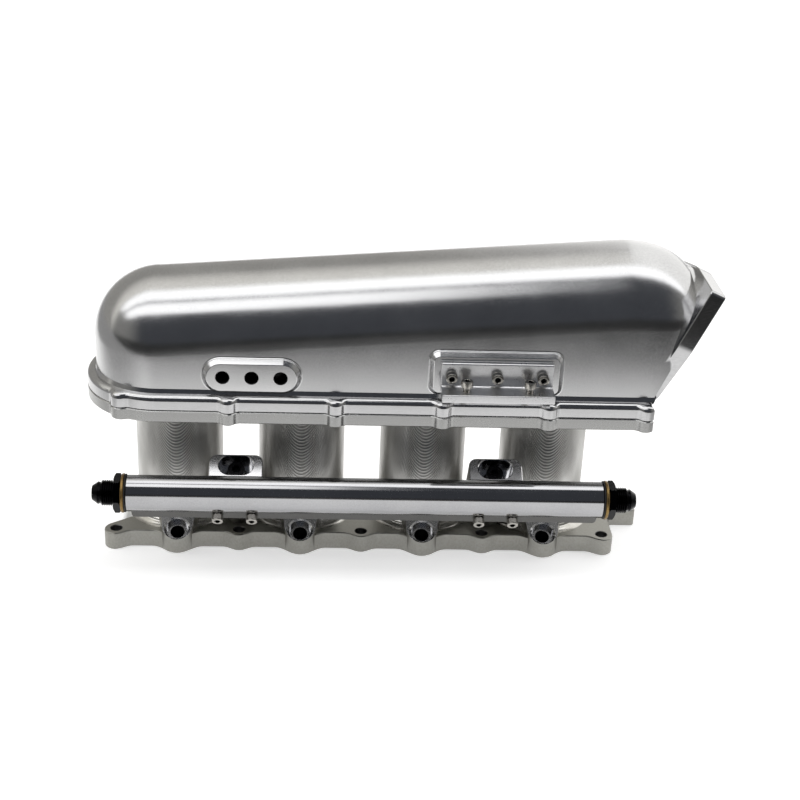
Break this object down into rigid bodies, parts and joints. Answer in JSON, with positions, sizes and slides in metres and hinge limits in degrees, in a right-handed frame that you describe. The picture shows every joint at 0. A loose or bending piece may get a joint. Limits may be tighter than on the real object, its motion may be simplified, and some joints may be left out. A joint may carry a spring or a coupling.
{
  "type": "intake manifold",
  "caption": "Billet engine intake manifold with a sloping arched plenum, round runners, a fuel rail on mounts and an angled throttle flange.",
  "frame": {"origin": "centre of the cylinder-head face, in the middle of the four ports", "axes": "+X along the engine towards the throttle, +Y away from the injectors, +Z from the head up to the plenum"},
  "size_m": [0.4642, 0.1459, 0.242],
  "materials": {
    "machined_aluminium": "milled, bare",
    "blasted_aluminium": "satin, brushed lengthways",
    "polished_aluminium": "polished",
    "steel": "plain stainless",
    "black_steel": "black oxide",
    "black_anodised": "black anodised",
    "rubber": "matt",
    "gold_washer": "dull gold"
  },
  "bodies": {
    "manifold": {"runner_block": "machined_aluminium", "plenum_shell": "blasted_aluminium", "plenum_seal": "rubber", "accessory_bracket": "polished_aluminium", "bracket_screw_left": "steel", "bracket_screw_middle": "steel", "bracket_screw_right": "steel", "fuel_rail": "polished_aluminium", "fitting_seal_left": "rubber", "fitting_washer_left": "gold_washer", "hose_fitting_left": "black_anodised", "rail_mount_left": "polished_aluminium", "rail_bolt_left": "black_steel", "fitting_seal_right": "rubber", "fitting_washer_right": "gold_washer", "hose_fitting_right": "black_anodised", "rail_mount_right": "polished_aluminium", "rail_bolt_right": "black_steel", "rail_screw_1": "steel", "rail_screw_2": "steel", "rail_screw_3": "steel", "rail_screw_4": "steel", "plenum_bolt_01": "steel", "plenum_bolt_02": "steel", "plenum_bolt_03": "steel", "plenum_bolt_04": "steel", "plenum_bolt_05": "steel", "plenum_bolt_06": "steel", "plenum_bolt_07": "steel", "plenum_bolt_08": "steel", "plenum_bolt_09": "steel", "plenum_bolt_10": "steel", "plenum_bolt_11": "steel", "plenum_bolt_12": "steel", "plenum_bolt_13": "steel"},
    "clamp_screw_left": {"clamp_screw_left": "steel"},
    "clamp_screw_right": {"clamp_screw_right": "steel"}
  },
  "joints": [
    {"name": "clamp_screw_left_travel", "type": "slide", "parent": "manifold", "child": "clamp_screw_left", "axis": [0, 0, 1], "range_m": [-0.003, 0.003]},
    {"name": "clamp_screw_right_travel", "type": "slide", "parent": "manifold", "child": "clamp_screw_right", "axis": [0, 0, 1], "range_m": [-0.003, 0.003]}
  ]
}
